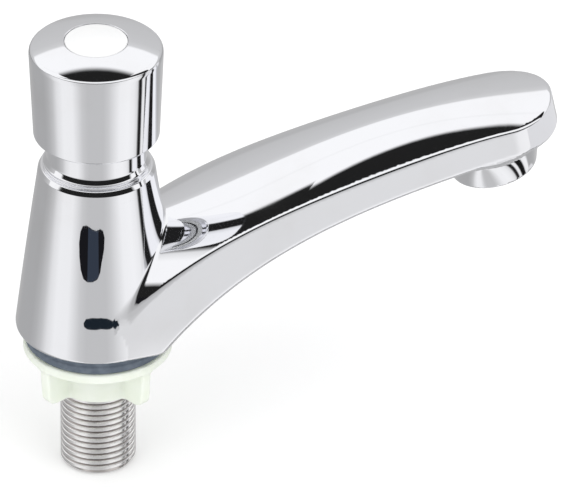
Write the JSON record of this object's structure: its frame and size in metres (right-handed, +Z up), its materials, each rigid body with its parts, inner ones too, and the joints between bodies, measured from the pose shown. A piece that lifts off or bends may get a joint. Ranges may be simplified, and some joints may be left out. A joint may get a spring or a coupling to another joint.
{
  "type": "push timed tap",
  "caption": "Deck-mounted push tap with a long crowned spout, self-closing timed cartridge and winged backnut.",
  "frame": {"origin": "centre of the deck plane, on the axis of the shank, at the underside of the base gasket", "axes": "+X out along the spout, +Z up the body to the button, +Y to the left of someone facing along the spout"},
  "size_m": [0.1535, 0.0454, 0.1363],
  "materials": {
    "polished_chrome": "mirror-bright chrome plate on cast brass",
    "thread_metal": "bright plated thread, a little duller than the body",
    "gasket_rubber": "dark slate moulded rubber, satin",
    "nut_plastic": "milky, slightly translucent moulded plastic",
    "disc_white": "gloss white",
    "housing_plastic": "off-white engineering plastic",
    "seal_rubber": "black seal rubber",
    "fibre": "red-brown pressed fibre",
    "bare_brass": "turned brass",
    "spring_steel": "bright stainless wire and sheet"
  },
  "bodies": {
    "tap": {"tap_body": "polished_chrome", "bonnet_sleeve": "polished_chrome", "outlet_ring": "polished_chrome", "threaded_shank": "thread_metal", "base_gasket": "gasket_rubber", "cartridge_housing": "housing_plastic", "spindle_guide": "housing_plastic", "flow_straightener": "housing_plastic", "nose_o_ring": "seal_rubber", "flange_seal": "seal_rubber", "wiper_seal": "seal_rubber", "lower_o_ring": "seal_rubber", "outlet_washer": "seal_rubber", "shank_washer": "fibre", "return_spring": "spring_steel", "metering_pin": "spring_steel", "inlet_strainer": "spring_steel"},
    "button": {"spindle": "bare_brass", "piston": "housing_plastic", "piston_cup": "seal_rubber", "piston_circlip": "spring_steel", "valve_washer": "seal_rubber", "valve_disc": "bare_brass", "valve_nut": "bare_brass", "push_cap": "polished_chrome", "guide_ring": "housing_plastic", "cap_screw": "spring_steel", "screw_washer": "spring_steel", "index_disc": "disc_white"},
    "backnut": {"wing_backnut": "nut_plastic"}
  },
  "joints": [
    {"name": "button_press", "type": "slide", "parent": "tap", "child": "button", "axis": [0, 0, -1], "range_m": [0, 0.0065], "stiffness_N_per_m": 1200, "springref_m": -0.01, "deforming": ["return_spring"]},
    {"name": "backnut_travel", "type": "slide", "parent": "tap", "child": "backnut", "axis": [0, 0, -1], "range_m": [0, 0.022]}
  ]
}
